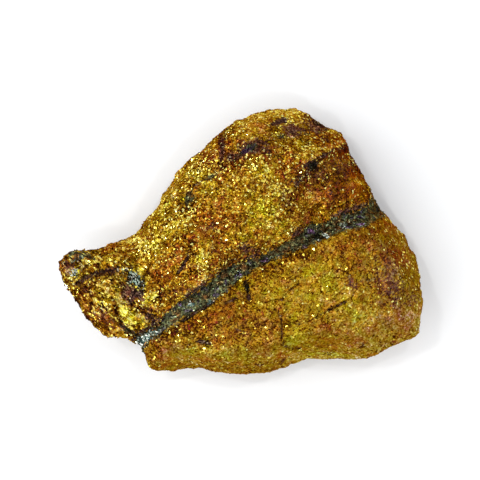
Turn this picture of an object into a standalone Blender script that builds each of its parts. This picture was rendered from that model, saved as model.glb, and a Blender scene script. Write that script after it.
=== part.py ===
"""A hand specimen of massive chalcopyrite, as it broke from the lode: one solid stone.

Blender 4.5, metres, +Z up. The stone lies on its back. X runs along its length, Y runs from the
straight lower edge to the crown, and Z is its thickness. The origin is the middle of its footprint,
on the surface that it rests on.

The stone starts as a slab of the true outline. The slab is remeshed to even faces, each point is
moved to the broken surface that the functions below describe, and the faces are thinned out. A level
cut then leaves the high spots of the underside flat, so that the stone rests on them.
"""

import math

import bmesh
import bpy
from mathutils import Vector, noise

MM = 0.001

# ---- Driving dimensions, in millimetres ----

BELT = 8.5  # height at which the stone is as wide as its outline
BELT_WANDER = 4.0  # how far that height wanders up and down round the stone
WALL_SHARE = 0.62  # share of the way up to the upper face, or down to the underside, that is steep wall
TOP_ROUND = (1.3, 5.2)  # least and most width of the worn edge round the upper face
TOP_LEAN = (0.2, 2.0)  # least and most that the upper face's edge stands inside the outline
BOTTOM_ROUND = (2.1, 6.3)  # least and most width of the undercut round the underside
BOTTOM_LEAN = (0.52, 4.68)  # least and most that the underside's edge stands inside the outline
LEAN_CURVE = 1.5  # above 1, so that a wall leans in more the nearer it is to the face
LEAN_REACH = 9.0  # how far into the stone the lean fades out
EDGE_SWAY = 12.0  # how far apart the wide and the narrow stretches of edge are
SWAY_STRENGTH = 1.3  # above 1, so that some stretches have the least or the most
EDGE_SENSE = 3.5  # how far along the outline a point looks to find the way inwards
HORN_TIP, HORN_ROOT = -30.0, -16.0  # along X: the horn is thin, so its walls break back less
HORN_SHARE = 0.35  # share of the walls' relief that is left at its tip
UPPER_SHARE = 0.35  # share of the walls' relief above the belt, where the stone is fuller
RELIEF_FULL = 0.5  # share of the way from the belt to a face at which the walls' relief is full
SLAB = 10.0  # thickness of the slab that the stone is shaped from
GRAIN = 0.7  # size of the slab's faces before it is shaped
OUTLINE_SPARE = 0.28  # how far the belt is pushed out, because shaping wears its edge down by that much
MOST_TRIANGLES = 9600
CUTTER = 120.0  # side of the block that cuts the underside level

# The outline, clockwise from the tip of the horn, in stretches that follow on from each other.
HORN_TOP = [(-30.0, -2.5), (-27.9, -1.9), (-25.4, -1.5), (-24.2, -2.1), (-22.8, -1.2), (-20.7, 0.0)]
LEFT_SLOPE = [
    (-18.6, 0.1), (-16.6, 1.6), (-15.1, 3.9), (-13.5, 4.9), (-12.5, 7.8), (-11.0, 9.9), (-10.6, 11.3),
    (-8.7, 13.2), (-7.5, 13.9), (-4.6, 16.7), (-3.6, 17.0), (-2.6, 18.3),
]
CROWN = [
    (-0.5, 19.8), (1.4, 20.3), (3.4, 21.2), (5.1, 21.5), (6.7, 22.1), (8.2, 22.1), (10.2, 21.4),
    (13.5, 19.0), (14.8, 18.6), (16.0, 18.4), (18.0, 16.3),
]
RIGHT_FLANK = [(18.5, 13.8), (21.4, 9.5), (22.4, 6.6), (24.3, 3.9), (27.1, 1.2), (28.0, -1.7), (29.3, -2.7)]
RIGHT_END = [(29.9, -6.6), (30.0, -10.7), (29.6, -12.4), (30.0, -14.9), (28.8, -16.3)]
LOWER_EDGE = [
    (23.8, -18.0), (22.2, -19.2), (20.5, -19.7), (19.1, -19.9), (16.4, -19.5), (12.3, -19.6),
    (9.8, -19.9), (8.2, -20.8), (5.5, -21.8), (0.7, -22.1), (-3.0, -21.9), (-6.7, -21.3),
    (-10.0, -21.6), (-14.1, -21.9), (-14.9, -21.5),
]
NOTCH = [(-15.5, -19.8), (-16.4, -17.1), (-18.0, -16.5), (-19.3, -15.7), (-20.3, -15.7), (-21.3, -16.3)]
HORN_UNDER = [(-24.4, -13.6), (-25.7, -12.0), (-26.9, -9.5), (-28.5, -7.6), (-29.8, -4.8), (-30.1, -3.7)]
OUTLINE = HORN_TOP + LEFT_SLOPE + CROWN + RIGHT_FLANK + RIGHT_END + LOWER_EDGE + NOTCH + HORN_UNDER

# Broken faces of the upper block and of the lower block. Each is a plane: the point (x, y, height)
# that it passes through, the way it falls in degrees from +X, and how steeply it falls in degrees.
UPPER_FACES = [
    ((3.0, 9.0, 21.6), 60, 4),  # the plateau below the crown
    ((-4.0, 8.0, 20.2), 140, 31),  # the long slope on the left
    ((7.0, 15.0, 20.4), 85, 28),  # the crown's roll to the top edge
    ((4.0, 1.0, 19.4), -65, 11),  # the fall towards the seam
    ((-13.0, -5.0, 18.2), 195, 17),  # the horn
    ((15.0, 15.0, 19.6), 35, 34),  # the crown's right shoulder
]
LOWER_FACES = [
    ((2.0, -10.0, 17.6), -80, 4),  # the broad even face
    ((22.0, -8.0, 17.0), -10, 12),  # its fall to the right end
    ((-8.0, -16.0, 17.2), 230, 9),  # its fall to the lower left corner
    ((16.0, -16.0, 16.4), -75, 26),  # the worn lower edge
]
FACE_BLEND = 0.5  # how far the ridge between two faces is worn down

# The dark seam crosses the whole stone, and the upper block stands above the lower one along it.
SEAM = [
    (-20.0, -20.5), (-16.2, -17.0), (-12.4, -14.0), (-8.3, -10.4), (-2.5, -5.8), (1.7, -3.6),
    (6.6, -1.7), (10.7, 0.7), (16.5, 3.0), (23.5, 4.9), (32.0, 7.0),
]
SEAM_HALF_WIDTH = 1.5
SEAM_DEPTH = 1.0

# The scarp: the ground to its lower right has broken away.
SCARP = [(3.0, 1.0), (8.7, 8.8), (11.2, 12.0), (14.9, 14.1), (18.4, 15.4), (24.0, 17.0)]
SCARP_DROP = 2.4
SCARP_SOFT = 0.6
SCARP_STARTS, SCARP_FULL = 7.5, 11.5  # along X

# Grooves and ribs along short lines: points, half width, and rise (below 0 is a groove).
LINES = [
    ([(-3.9, 11.8), (0.0, 14.7), (3.6, 15.9), (6.0, 15.2)], 0.9, -0.8),  # crown groove
    ([(-3.6, 16.9), (-2.9, 12.8)], 0.5, -0.8),  # short crack at the crown's left
    ([(5.4, 18.4), (8.0, 17.4), (11.0, 17.4), (12.6, 19.2)], 0.8, -0.6),  # hollow below the top edge
    ([(-27.4, -7.0), (-24.8, -5.4), (-21.8, -4.8), (-18.6, -5.4), (-16.6, -7.8)], 0.9, -1.5),  # horn crevice
    ([(-22.6, -7.6), (-20.6, -10.0), (-18.4, -13.4)], 1.8, 1.5),  # the horn's shining rib
    ([(-16.4, -9.0), (-15.0, -8.0)], 1.1, 0.8),  # knob beside it
    ([(-14.8, -11.6), (-13.4, -14.0)], 0.8, -0.9),  # pit where the horn meets the seam
    ([(-6.4, -2.0), (-5.8, -6.4)], 0.7, 0.7),  # bright rib above the seam
    ([(-9.4, -5.6), (-7.4, -1.6)], 0.4, -0.5),  # crack beside it
    ([(-9.3, 6.3), (-8.2, 8.2)], 0.6, -0.6),  # pit on the left slope
    ([(0.0, -6.3), (1.2, -9.4)], 0.4, -0.5),  # crack under the seam
    ([(12.6, -11.6), (17.4, -9.3)], 0.4, -0.5),  # crack in the lower face
    ([(-7.0, -16.8), (-4.4, -17.4)], 0.4, -0.5),  # crack near the lower edge
    ([(3.0, 12.6), (6.6, 7.4), (5.0, 4.0)], 1.5, 0.5),  # swell down the middle of the plateau
]

# Uneven fracture: wavelength and height of the lumps on each block, and on the walls. Each size of
# lump carries smaller ones, finer by LUMP_STEP, and LUMP_FADE is how quickly those get lower.
UPPER_LUMPS = (5.0, 0.75)
LOWER_LUMPS = (7.0, 0.35)
FINE_LUMPS = (2.2, 0.34)
LOWER_FINE_SHARE = 0.5  # share of the fine lumps that is left on the smoother lower block
WALL_LUMPS = (3.2, 0.4)
LUMP_FADE, LUMP_STEP = 0.9, 2.1

# Shell-like scoops, with sharp ridges between them: how far apart they are, and how deep.
UPPER_SCOOPS = (4.2, 0.9)
LOWER_SCOOPS = (6.5, 0.3)
WALL_SCOOPS = (10.5, 2.6)
WALL_CHIPS = (4.0, 0.7)
UNDERSIDE_SCOOPS = (8.0, 1.6)
SCOOP_REACH = 0.7  # how far a scoop reaches from its middle, as a share of how far apart they are

# The underside is uneven too, and a level cut through it leaves the flats that the stone rests on.
UNDERSIDE_LUMPS = (9.0, 1.5)
UNDERSIDE_RISE = -0.1

# Flat breaks that slice the walls above or below the belt: the way each faces, in degrees from +X,
# its tilt above the horizon, and how far it bites in from the first point of the belt that it meets.
BREAKS = [
    (78, 33, 0.3),
    (28, 20, 0.3),
    (-8, 24, 0.1),
    (-62, 30, 0.1),
    (-100, 14, 0.2),
    (-150, 26, 0.1),
    (158, 35, 0.1),
    (52, -36, 0.3),
    (-25, -30, 0.3),
    (-95, -40, 0.3),
    (200, -42, 0.1),
    (130, -25, 0.3),
]


def clear_scene():
    for thing in list(bpy.data.objects):
        bpy.data.objects.remove(thing)


def smoothstep(low, high, value):
    share = min(max((value - low) / (high - low), 0.0), 1.0)
    return share * share * (3.0 - 2.0 * share)


def lumps(point, wavelength, height, octaves=3):
    """Uneven ground of about that height, the same for the same point on every run."""
    return height * noise.fractal(point / wavelength, LUMP_FADE, LUMP_STEP, octaves)


def nearest_on_line(x, y, points, closed=False):
    """(distance, side, foot): how far (x, y) is from the line, which side it is on (1 is left), and where."""
    ends = points[1:] + points[:1] if closed else points[1:]
    best = None
    for (ax, ay), (bx, by) in zip(points, ends):
        along_x, along_y = bx - ax, by - ay
        share = ((x - ax) * along_x + (y - ay) * along_y) / (along_x**2 + along_y**2)
        share = min(max(share, 0.0), 1.0)
        foot = (ax + share * along_x, ay + share * along_y)
        away = math.hypot(x - foot[0], y - foot[1])
        side = 1.0 if along_x * (y - ay) - along_y * (x - ax) > 0 else -1.0
        if best is None or away < best[0]:
            best = (away, side, foot)
    return best


def scoops(point, apart, depth):
    """Depth of the shell-like hollow at a point: 0 on the ridges, and deepest in a hollow's middle."""
    middle = noise.voronoi(point / apart)[0][0]
    return depth * max(0.0, 1.0 - (middle / SCOOP_REACH) ** 2)


def sway(foot, low, high, seed):
    """A value between low and high that changes slowly round the outline."""
    share = 0.5 + SWAY_STRENGTH * noise.noise(Vector((foot[0] / EDGE_SWAY, foot[1] / EDGE_SWAY, seed)))
    return low + (high - low) * min(max(share, 0.0), 1.0)


def belt_height(foot):
    return sway(foot, BELT - BELT_WANDER, BELT + BELT_WANDER, 5.0)


def way_inwards(x, y):
    """The level direction from this place on the outline into the stone."""
    inward = Vector((0.0, 0.0, 0.0))
    for (ax, ay), (bx, by) in zip(OUTLINE, OUTLINE[1:] + OUTLINE[:1]):
        near = nearest_on_line(x, y, [(ax, ay), (bx, by)])[0]
        inward += Vector((by - ay, ax - bx, 0.0)) * math.exp(-((near / EDGE_SENSE) ** 2))
    return inward.normalized()


def lowest_face(x, y, faces):
    """Height of the broken surface that these planes make, with the ridges between them worn down."""
    total = 0.0
    for (px, py, height), falls_to, slope in faces:
        angle = math.radians(falls_to)
        run = (x - px) * math.cos(angle) + (y - py) * math.sin(angle)
        total += math.exp(-(height - run * math.tan(math.radians(slope))) / FACE_BLEND)
    return -FACE_BLEND * math.log(total)


def top_height(x, y):
    """Height of the upper side of the stone, before its edge is worn."""
    away, side, _ = nearest_on_line(x, y, SEAM)
    above_seam = side * away
    upper = lowest_face(x, y, UPPER_FACES) + lumps(Vector((x, y, 3.0)), *UPPER_LUMPS)
    upper -= scoops(Vector((x, y, 19.0)), *UPPER_SCOOPS)
    fallen, fallen_side, _ = nearest_on_line(x, y, SCARP)
    upper -= (
        SCARP_DROP
        * smoothstep(-SCARP_SOFT, SCARP_SOFT, -fallen_side * fallen)
        * smoothstep(SCARP_STARTS, SCARP_FULL, x)
    )
    lower = lowest_face(x, y, LOWER_FACES) + lumps(Vector((x, y, 7.0)), *LOWER_LUMPS)
    lower -= scoops(Vector((x, y, 31.0)), *LOWER_SCOOPS)
    share = smoothstep(-SEAM_HALF_WIDTH, SEAM_HALF_WIDTH, above_seam)
    height = lower + (upper - lower) * share
    height -= SEAM_DEPTH * math.exp(-((above_seam / SEAM_HALF_WIDTH) ** 2))
    for points, half_width, rise in LINES:
        off = nearest_on_line(x, y, points)[0]
        height += rise * math.exp(-((off / half_width) ** 2))
    fine = lumps(Vector((x, y, 11.0)), *FINE_LUMPS)
    return height + fine * (LOWER_FINE_SHARE + (1.0 - LOWER_FINE_SHARE) * share)


def underside_height(x, y):
    ground = Vector((x, y, -5.0))
    return UNDERSIDE_RISE + lumps(ground, *UNDERSIDE_LUMPS) + scoops(ground, *UNDERSIDE_SCOOPS)


def flat_breaks():
    """(point, direction) of each flat break."""
    belt = [Vector((*corner, belt_height(corner))) for corner in OUTLINE]
    planes = []
    for faces, tilt, bite in BREAKS:
        turn, lift = math.radians(faces), math.radians(tilt)
        outwards = Vector((math.cos(turn) * math.cos(lift), math.sin(turn) * math.cos(lift), math.sin(lift)))
        planes.append((max(belt, key=outwards.dot) - outwards * bite, outwards))
    return planes


def shaped(point):
    """Where a point of the slab, in millimetres from its middle, lies on the broken stone."""
    level = min(max(point.z / (SLAB / 2), -1.0), 1.0)
    inside, side, foot = nearest_on_line(point.x, point.y, OUTLINE, closed=True)
    inside = max(-side * inside, 0.0)
    if level > 0:
        relief = UPPER_SHARE
        lean = sway(foot, *TOP_LEAN, 1.0)
        edge_width = sway(foot, *TOP_ROUND, 2.0)
    else:
        relief = 1.0
        lean = sway(foot, *BOTTOM_LEAN, 3.0)
        edge_width = sway(foot, *BOTTOM_ROUND, 4.0)
    belt = belt_height(foot)
    moved = Vector((point.x, point.y, belt + level * SLAB / 2))
    broken = scoops(moved, *WALL_SCOOPS) + scoops(moved, *WALL_CHIPS) + abs(lumps(moved, *WALL_LUMPS))
    off = lean * abs(level) ** LEAN_CURVE + relief * broken * min(abs(level) / RELIEF_FULL, 1.0)
    off *= HORN_SHARE + (1.0 - HORN_SHARE) * smoothstep(HORN_TIP, HORN_ROOT, foot[0])
    off -= OUTLINE_SPARE
    moved += way_inwards(*foot) * off * (1.0 - smoothstep(0.0, LEAN_REACH, inside))
    rounded = 1.0 - (1.0 - min(inside / edge_width, 1.0)) ** 2
    face = top_height(moved.x, moved.y) if level > 0 else underside_height(moved.x, moved.y)
    moved.z = belt + (face - belt) * (WALL_SHARE + (1.0 - WALL_SHARE) * rounded) * abs(level)
    return moved


def outline_slab(collection):
    """The slab: the outline as a flat curve with thickness, made a mesh."""
    flat = bpy.data.curves.new("outline", "CURVE")
    flat.dimensions = "2D"
    flat.fill_mode = "BOTH"
    flat.extrude = SLAB / 2 * MM
    spline = flat.splines.new("POLY")
    spline.points.add(len(OUTLINE) - 1)
    for point, (x, y) in zip(spline.points, OUTLINE):
        point.co = (x * MM, y * MM, 0.0, 1.0)
    spline.use_cyclic_u = True
    guide = bpy.data.objects.new("outline", flat)
    collection.objects.link(guide)
    graph = bpy.context.evaluated_depsgraph_get()
    mesh = bpy.data.meshes.new_from_object(guide.evaluated_get(graph))
    bpy.data.objects.remove(guide)
    slab = bpy.data.objects.new("chalcopyrite_stone", mesh)
    collection.objects.link(slab)
    return slab


def apply_modifiers(thing):
    """The object keeps the mesh that its modifiers make, and the modifiers go."""
    graph = bpy.context.evaluated_depsgraph_get()
    made = bpy.data.meshes.new_from_object(thing.evaluated_get(graph))
    thing.modifiers.clear()
    thing.data = made


def remesh_evenly(stone):
    even = stone.modifiers.new("even faces", "REMESH")
    even.mode = "VOXEL"
    even.voxel_size = GRAIN * MM
    apply_modifiers(stone)


def break_surface(stone):
    """Moves each point of the slab to its place on the stone, then closes what the folds left."""
    planes = flat_breaks()
    for vert in stone.data.vertices:
        place = shaped(vert.co / MM)
        for stands, outwards in planes:
            beyond = (place - stands).dot(outwards)
            if beyond > 0:
                place -= outwards * beyond
        vert.co = place * MM
    remesh_evenly(stone)


def level_base(stone, collection):
    """Cuts the underside's high spots level, so that the stone rests on them."""
    mesh = bmesh.new()
    bmesh.ops.create_cube(mesh, size=CUTTER * MM)
    bmesh.ops.translate(mesh, verts=mesh.verts[:], vec=(0.0, 0.0, -CUTTER / 2 * MM))
    data = bpy.data.meshes.new("ground")
    mesh.to_mesh(data)
    mesh.free()
    ground = bpy.data.objects.new("ground", data)
    ground.hide_render = True
    ground.display_type = "WIRE"
    collection.objects.link(ground)
    level = stone.modifiers.new("level base", "BOOLEAN")
    level.operation = "DIFFERENCE"
    level.object = ground
    apply_modifiers(stone)


def drop_crumbs(stone):
    """Keeps the largest body, and removes the chips that the breaks cut loose."""
    mesh = bmesh.new()
    mesh.from_mesh(stone.data)
    left = set(mesh.verts)
    bodies = []
    while left:
        found, edge = set(), [left.pop()]
        while edge:
            vert = edge.pop()
            found.add(vert)
            near = [link.other_vert(vert) for link in vert.link_edges]
            edge.extend(other for other in near if other in left)
            left.difference_update(near)
        bodies.append(found)
    bodies.sort(key=len)
    bmesh.ops.delete(mesh, geom=[vert for body in bodies[:-1] for vert in body], context="VERTS")
    mesh.to_mesh(stone.data)
    mesh.free()


def thin_out(stone):
    """Fewer faces where the surface is even, so that those left show the ledges and pits."""
    count = sum(len(face.vertices) - 2 for face in stone.data.polygons)
    thin = stone.modifiers.new("fewer faces", "DECIMATE")
    thin.ratio = min(1.0, MOST_TRIANGLES / count)
    apply_modifiers(stone)


def centre_footprint(stone):
    """Shifts the stone sideways until the middle of its footprint is at the origin."""
    for axis in (0, 1):
        reach = [vert.co[axis] for vert in stone.data.vertices]
        middle = (min(reach) + max(reach)) / 2
        for vert in stone.data.vertices:
            vert.co[axis] -= middle


def chalcopyrite_material():
    material = bpy.data.materials.new("chalcopyrite")
    material.use_nodes = True
    shader = material.node_tree.nodes["Principled BSDF"]
    shader.inputs["Base Color"].default_value = (0.42, 0.25, 0.045, 1.0)
    shader.inputs["Metallic"].default_value = 0.9
    shader.inputs["Roughness"].default_value = 0.38
    return material


def main():
    clear_scene()
    collection = bpy.data.collections.new("chalcopyrite specimen")
    bpy.context.scene.collection.children.link(collection)
    cutters = bpy.data.collections.new("cutters")
    bpy.context.scene.collection.children.link(cutters)
    stone = outline_slab(collection)
    remesh_evenly(stone)
    break_surface(stone)
    drop_crumbs(stone)
    thin_out(stone)
    level_base(stone, cutters)
    centre_footprint(stone)
    stone.data.materials.clear()
    stone.data.materials.append(chalcopyrite_material())


main()
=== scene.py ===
# %% [markdown]
# # A hand specimen of massive chalcopyrite
#
# The stone is a lump of copper ore, 60 mm long, as it broke from the lode. Its upper block is a
# rough crust of small brassy grains that glitter. Its lower block broke more smoothly, and is a
# duller mustard colour. A dark, bluish seam runs between the two.
#
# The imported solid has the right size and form, but its faces are about a millimetre wide. This
# script keeps that form and builds the skin: a fine mesh, the cracks and chips in it, thousands of
# small crystals on it, and one finish that changes from place to place.

import bmesh
import bpy
import numpy as np
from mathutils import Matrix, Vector, noise


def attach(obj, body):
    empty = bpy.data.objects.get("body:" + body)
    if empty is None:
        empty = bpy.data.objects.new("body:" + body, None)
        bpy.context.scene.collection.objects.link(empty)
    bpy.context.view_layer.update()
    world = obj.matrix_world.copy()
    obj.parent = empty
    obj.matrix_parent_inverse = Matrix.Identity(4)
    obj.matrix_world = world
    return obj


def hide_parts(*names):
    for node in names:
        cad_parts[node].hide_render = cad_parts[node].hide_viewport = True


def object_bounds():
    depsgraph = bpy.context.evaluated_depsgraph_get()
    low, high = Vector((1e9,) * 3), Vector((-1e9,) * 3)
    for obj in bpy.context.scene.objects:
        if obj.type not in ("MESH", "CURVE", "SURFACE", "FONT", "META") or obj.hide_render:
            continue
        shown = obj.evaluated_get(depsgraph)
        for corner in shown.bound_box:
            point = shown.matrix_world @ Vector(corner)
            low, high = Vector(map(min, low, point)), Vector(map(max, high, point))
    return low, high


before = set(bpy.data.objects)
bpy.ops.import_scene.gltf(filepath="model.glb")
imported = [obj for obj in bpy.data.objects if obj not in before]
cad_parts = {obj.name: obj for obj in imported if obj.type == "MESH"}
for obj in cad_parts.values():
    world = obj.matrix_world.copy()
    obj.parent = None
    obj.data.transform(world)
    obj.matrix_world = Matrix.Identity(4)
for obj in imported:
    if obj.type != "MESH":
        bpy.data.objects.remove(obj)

MM = 0.001
NODE = "chalcopyrite_stone"
solid_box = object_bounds()


def sides(box):
    """The sides of the box in millimetres."""
    return [round((high - low) / MM, 1) for low, high in zip(*box)]


print("the solid is", sides(solid_box), "mm")

# %% [markdown]
# ## The camera
#
# The stone lies on its back on a table, and the camera hangs over it. A long lens from far away
# shows a small thing without making its near parts look large, so the lens is worked out from the
# width that the picture takes in at the height where the stone is widest.

# %% Hang the camera over the stone
VIEW_WIDTH = 79.2 * MM  # how much of the table the picture takes in
WIDEST_HEIGHT = 8.0 * MM
CAMERA_DISTANCE = 900.0 * MM
SENSOR = 36.0
MIDDLE = (0.0, 0.21)  # what the camera looks at, and the zero of the plans, in mm


def add_object(name, data):
    """A new object in the scene."""
    thing = bpy.data.objects.new(name, data)
    bpy.context.scene.collection.objects.link(thing)
    return thing


camera_data = bpy.data.cameras.new("camera")
camera_data.sensor_width = SENSOR
camera_data.lens = SENSOR * CAMERA_DISTANCE / VIEW_WIDTH
camera_data.clip_end = 10.0
camera = add_object("camera", camera_data)
camera.location = (MIDDLE[0] * MM, MIDDLE[1] * MM, WIDEST_HEIGHT + CAMERA_DISTANCE)
bpy.context.scene.camera = camera
print("the lens is", round(camera_data.lens), "mm")

# %% [markdown]
# ## A fine mesh of the same form
#
# Cracks and grains are narrower than the solid's faces, so they need a finer mesh. Subdividing
# would keep the long thin triangles of the solid. A voxel remesh gives small faces of one size, and
# a few rounds of smoothing take off the creases that the coarse faces leave.

# %% Copy the solid and remesh it finely
SKIN_GRAIN = 0.28 * MM
SKIN_SMOOTHING = 4
SAME_CORNER = 0.002 * MM  # closer corners of the solid are joined


def keep_modified(thing):
    """The object keeps the mesh that its modifiers make, and the modifiers go."""
    graph = bpy.context.evaluated_depsgraph_get()
    made = bpy.data.meshes.new_from_object(thing.evaluated_get(graph))
    thing.modifiers.clear()
    thing.data = made


def fine_copy(node, name):
    """A new object with the node's form, in small even faces."""
    mesh = bmesh.new()
    mesh.from_mesh(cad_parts[node].data)
    bmesh.ops.remove_doubles(mesh, verts=mesh.verts[:], dist=SAME_CORNER)
    data = bpy.data.meshes.new(name)
    mesh.to_mesh(data)
    mesh.free()
    thing = add_object(name, data)
    even = thing.modifiers.new("even faces", "REMESH")
    even.mode = "VOXEL"
    even.voxel_size = SKIN_GRAIN
    soft = thing.modifiers.new("soft creases", "SMOOTH")
    soft.iterations = SKIN_SMOOTHING
    keep_modified(thing)
    return thing


def rows(things, field):
    """One row of (x, y, z) for each point's place or normal."""
    found = np.empty(len(things) * 3, np.float32)
    things.foreach_get(field, found)
    return found.reshape(-1, 3).astype(float)


stone = fine_copy(NODE, "stone_skin")
print("the skin has", len(stone.data.polygons), "faces")

# %% [markdown]
# ## A plan of the stone
#
# The finish changes from place to place: the seam is dark, some patches are rusty, some are bright.
# On the real stone these are bands, streaks and blotches. Each kind is drawn here as a list of
# lines and round patches in millimetres, as on a plan, and turned into a number at each point of
# the skin. Drawn in this way they are easy to move, and a little noise frays their edges.

# %% Helpers that draw on the plan
FINE_FRAY_SIZE, FRAY_SIZE, WIDE_FRAY_SIZE = 0.5, 1.1, 4.0  # the noises that fray the edges
NOISE_FADE, NOISE_STEP = 0.8, 2.1  # how much lower, and finer, each next size is
LINE_FRAY, SPOT_FRAY = 0.7, 0.5  # how far the noise moves an edge, in half widths
SPOT_FALL = 1.2  # how quickly a spot fades from its middle
WANDER, WANDER_SIZE = 2.6, 3.2  # so that the drawing isn't stretched down the sides
WANDER_STARTS = 0.6  # where the surface faces up less than this


def fractal(points, size, seed):
    """Soft noise from about -1 to 1, with lumps of that size in millimetres."""
    places = points / size + np.array((seed, -seed, 2.0 * seed))
    return np.array([noise.fractal(Vector(p), NOISE_FADE, NOISE_STEP, 3) for p in places])


def step(values, middle, softness):
    """0 below the middle and 1 above it, changing over about that softness."""
    return 1.0 / (1.0 + np.exp(-(values - middle) / softness))


def line_distance(plan, points):
    """How far each point of the plan is from the line, and on which side: above 0 is the left."""
    best = np.full(len(plan), np.inf)
    side = np.zeros(len(plan))
    for start, end in zip(points[:-1], points[1:]):
        run = end - start
        share = np.clip((plan - start) @ run / (run @ run), 0, 1)
        off = plan - start - share[:, None] * run
        away = np.hypot(off[:, 0], off[:, 1])
        turn = np.sign(run[0] * off[:, 1] - run[1] * off[:, 0])
        side = np.where(away < best, turn, side)
        best = np.minimum(best, away)
    return best, side


def streaks(plan, lines, fray, together=np.maximum):
    """Each line is (strength, half width, x, y, x, y ...). The strongest counts, or all add up."""
    found = np.zeros(len(plan))
    for strength, half_width, *points in lines:
        away, _ = line_distance(plan, np.reshape(points, (-1, 2)))
        away = np.maximum(away / half_width + LINE_FRAY * fray, 0.0)
        found = together(found, strength * np.exp(-(away**2)))
    return found


def patches(plan, spots, fray, together=np.maximum):
    """Each spot is (strength, x, y, half length, half width). Some end with a turn in degrees."""
    found = np.zeros(len(plan))
    for strength, x, y, half_length, half_width, *turn in spots:
        angle = np.radians(sum(turn))
        off = plan - (x, y)
        along = off[:, 0] * np.cos(angle) + off[:, 1] * np.sin(angle)
        across = off[:, 1] * np.cos(angle) - off[:, 0] * np.sin(angle)
        away = np.hypot(along / half_length, across / half_width) + SPOT_FRAY * fray
        found = together(found, strength * np.exp(-SPOT_FALL * np.maximum(away, 0.0) ** 2))
    return found


start_points = rows(stone.data.vertices, "co") / MM
normals = rows(stone.data.vertex_normals, "vector")
upness = normals[:, 2]
wander = [fractal(start_points, WANDER_SIZE, seed=seed) for seed in (12.0, 13.0)]
wander = np.column_stack(wander) * np.clip(WANDER_STARTS - upness, 0, 1)[:, None]
plan = start_points[:, :2] - np.array(MIDDLE) + WANDER * wander
fray = fractal(start_points, FRAY_SIZE, seed=3.0)
wide_fray = fractal(start_points, WIDE_FRAY_SIZE, seed=5.0)
print("the plan has", len(plan), "points")

# %% [markdown]
# ## Where the blocks and the seam are
#
# The seam is a thin vein of darker sulphide. Its width is uneven, so its line carries a half width
# at each point. The upper block lies on its left, and the lower one on its right. The horn is the
# spur at the left end of the upper block.

# %% Draw the seam, the blocks and the horn
SEAM = [  # x, y and half width
    (-17.4, -18, 1), (-16.6, -17.2, 1), (-15.4, -16, 0.9), (-13.8, -15.1, 0.8), (-12.3, -13.8, 0.9),
    (-11.2, -12.5, 1), (-10, -11.7, 1.3), (-8, -10.6, 1.3), (-6, -9.4, 1.4), (-4.2, -8.1, 1.4),
    (-2.3, -6.5, 1.4), (-0.2, -5.1, 1.1), (1.8, -4.1, 0.9), (3.8, -3.2, 0.7), (5.8, -2.3, 0.8),
    (7.7, -1.3, 0.9), (9.6, -0.3, 0.95), (10.8, 0.4, 1.3), (11.8, 1, 1.5), (13.9, 1.5, 1.2),
    (15.8, 2.5, 1.2), (17.9, 3.1, 1.4), (20.1, 3.6, 1.5), (22, 4.6, 1.4), (24, 5.4, 1.7),
    (27, 6.6, 1.7),
]
SEAM_EDGE, BLOCK_EDGE, HORN_EDGE = 0.12, 0.3, 0.8  # how softly each of them ends
SEAM_FRAY, SEAM_FINE_FRAY, BLOCK_FRAY = 0.3, 0.34, 0.4
HORN_ENDS = -15.0
SLATE_STRENGTH = 1.4
SLATE_SPOTS = [  # other places where the seam's dark sulphide shows
    (0.9, -26.5, -2.5, 2.2, 0.7, -3), (0.7, -25, -2.8, 1.4, 0.4, -10),
    (1, -17.2, -6.6, 1.8, 1, -45), (0.8, -17.8, -15.2, 1.6, 0.5, -35),
    (0.7, -16, -18.6, 0.5, 1.6, 10), (0.9, 1.4, 14.9, 2.2, 0.6, 25), (0.6, 6.6, 17, 1, 0.4, 15),
    (0.7, -5.1, 10.2, 1.3, 0.45, 35), (0.85, -8.4, 6.8, 1.2, 0.7, 60),
    (0.5, 13, 19.4, 1.8, 0.6, -30), (0.7, 12, 11.8, 0.9, 0.5, 30), (0.9, 22.2, 6, 1.8, 1.2, 50),
    (0.8, 1.1, -7.8, 1.4, 0.35, -75), (0.45, 21.2, -6.5, 1.3, 0.5),
]

seam_line = np.array(SEAM)
seam_away, seam_side = line_distance(plan, seam_line[:, :2])
seam_half = np.interp(plan[:, 0], seam_line[:, 0], seam_line[:, 2])
above_seam = seam_away * seam_side
fine_fray = fractal(start_points, FINE_FRAY_SIZE, seed=9.0)
ragged = SEAM_FRAY * fray + SEAM_FINE_FRAY * fine_fray
seam = step(seam_half - ragged - seam_away, 0.0, SEAM_EDGE)
slate = SLATE_STRENGTH * patches(plan, SLATE_SPOTS, fray + fine_fray)
seam = np.maximum(seam, np.clip(slate, 0, 1))
upper = step(above_seam + BLOCK_FRAY * fray, 0.0, BLOCK_EDGE)
horn = step(-plan[:, 0] + wide_fray, -HORN_ENDS, HORN_EDGE) * upper


def covered(marks):
    """The part of the skin that has these marks, in words."""
    return f"{100 * (marks > 0.5).mean():.1f} % of the skin"


print("the seam covers", covered(seam))
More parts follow.
